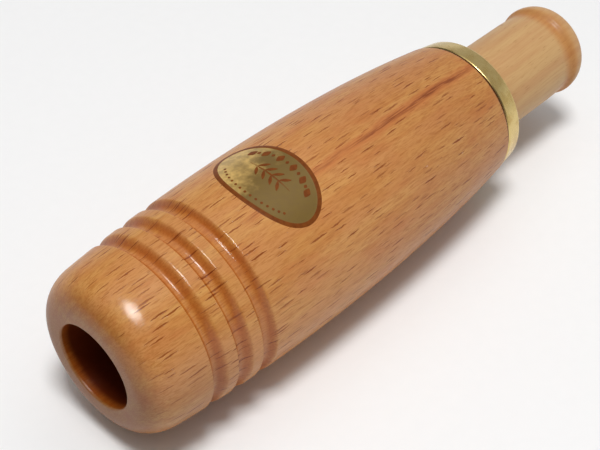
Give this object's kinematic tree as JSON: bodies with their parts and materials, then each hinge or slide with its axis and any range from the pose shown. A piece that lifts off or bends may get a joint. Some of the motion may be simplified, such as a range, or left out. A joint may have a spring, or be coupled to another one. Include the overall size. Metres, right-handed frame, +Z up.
{
  "type": "duck call",
  "caption": "Turned wooden duck call: a bulged barrel with a bell bore and ring grooves, a brass ferrule, an oval badge and a push-in mouthpiece that holds a cork-wedged reed unit.",
  "frame": {"origin": "on the resting surface, under the middle of the call's length, with the call lying on its side", "axes": "+X along the turning axis from the bell end to the mouthpiece, +Z up, +Y to the left of someone looking from the bell end to the mouthpiece"},
  "size_m": [0.12, 0.0338, 0.0344],
  "materials": {
    "barrel_beech": "clear gloss lacquer over steamed beech with fine dark ray flecks",
    "ferrule_brass": "polished, lightly handled",
    "badge_foil": "plain old-gold foil oval with a brown rim",
    "mouthpiece_beech": "thin satin lacquer on pale beech",
    "cork": "bare ground cork",
    "block_beech": "bare turned beech",
    "trough_brass": "machined, unpolished",
    "reed_brass": "rolled strip, lightly brushed"
  },
  "bodies": {
    "barrel": {"barrel": "barrel_beech", "ferrule": "ferrule_brass", "badge": "badge_foil"},
    "tenon_cork": {"tenon_cork": "cork"},
    "mouthpiece": {"mouthpiece": "mouthpiece_beech"},
    "reed_unit": {"reed_block": "block_beech", "reed_trough": "trough_brass"},
    "reed": {"reed": "reed_brass"},
    "reed_wedge": {"reed_wedge": "cork"}
  },
  "joints": [
    {"name": "mouthpiece_pull", "type": "slide", "parent": "barrel", "child": "tenon_cork", "axis": [1, 0, 0], "range_m": [0, 0.028]},
    {"name": "mouthpiece_twist", "type": "hinge", "parent": "tenon_cork", "child": "mouthpiece", "pos_m": [0.02, 0, 0.017], "axis": [1, 0, 0], "continuous": true},
    {"name": "reed_unit_pull", "type": "slide", "parent": "mouthpiece", "child": "reed_unit", "axis": [-1, 0, 0], "range_m": [0, 0.045]},
    {"name": "wedge_pull", "type": "slide", "parent": "reed_unit", "child": "reed_wedge", "axis": [-1, 0, 0], "range_m": [0, 0.016]},
    {"name": "reed_flex", "type": "hinge", "parent": "reed_unit", "child": "reed", "pos_m": [0.017, 0, 0.01745], "axis": [0, 1, 0], "range_deg": [-1.5, 1.5], "stiffness_Nm_per_rad": 0.04}
  ]
}
